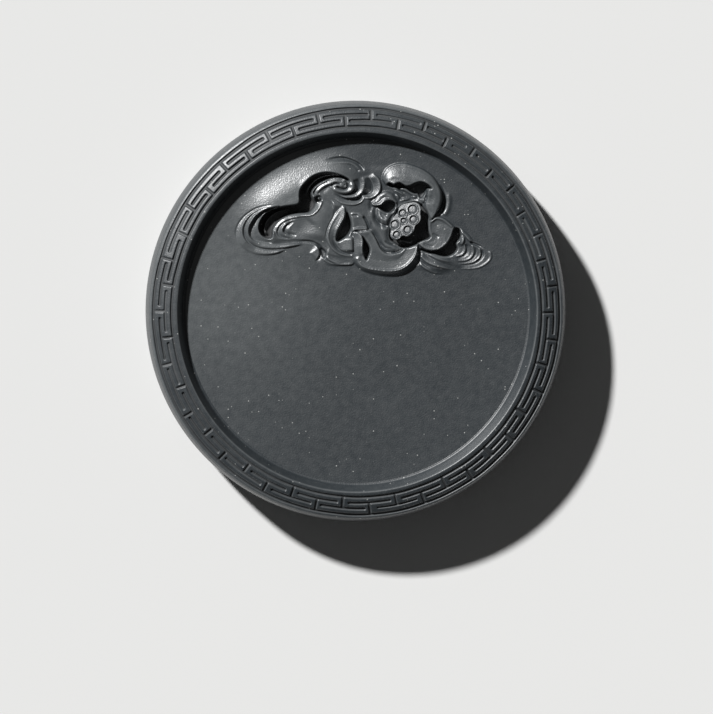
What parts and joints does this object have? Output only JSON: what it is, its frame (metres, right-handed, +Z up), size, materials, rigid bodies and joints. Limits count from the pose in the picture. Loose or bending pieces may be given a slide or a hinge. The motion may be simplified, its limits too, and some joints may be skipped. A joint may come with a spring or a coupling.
{
  "type": "ink stone",
  "caption": "Round carved ink stone: a drum with a raised rim cut with a key fret, a flat grinding bed, an ink pool and a relief of a lotus among water scrolls.",
  "frame": {"origin": "centre of the flat underside", "axes": "+Z up out of the well, +Y from the centre towards the carved relief, +X to the right when the relief is read upright"},
  "size_m": [0.089, 0.089, 0.018],
  "materials": {
    "stone": "satin, rubbed smooth",
    "carved_stone": "satin, chisel cut and rubbed"
  },
  "bodies": {
    "root": {"stone_body": "stone", "rim": "stone", "fret_band": "carved_stone", "grinding_bed": "stone", "water_scroll": "carved_stone", "scroll_ripples": "carved_stone", "scroll_core": "carved_stone", "cloud_ground": "carved_stone", "spiral_cloud": "carved_stone", "spiral_steps": "carved_stone", "shell_fold": "carved_stone", "left_petal": "carved_stone", "petal_heart": "carved_stone", "folded_leaf": "carved_stone", "turned_edge": "carved_stone", "front_petal": "carved_stone", "inner_petal": "carved_stone", "small_petal": "carved_stone", "hood_petal": "carved_stone", "right_petal": "carved_stone", "stamen_collar": "carved_stone", "seed_pod": "carved_stone", "pod_seeds": "carved_stone", "wave_outer": "carved_stone", "wave_inner": "carved_stone", "wave_crest": "carved_stone", "wave_tails": "carved_stone"}
  },
  "joints": []
}
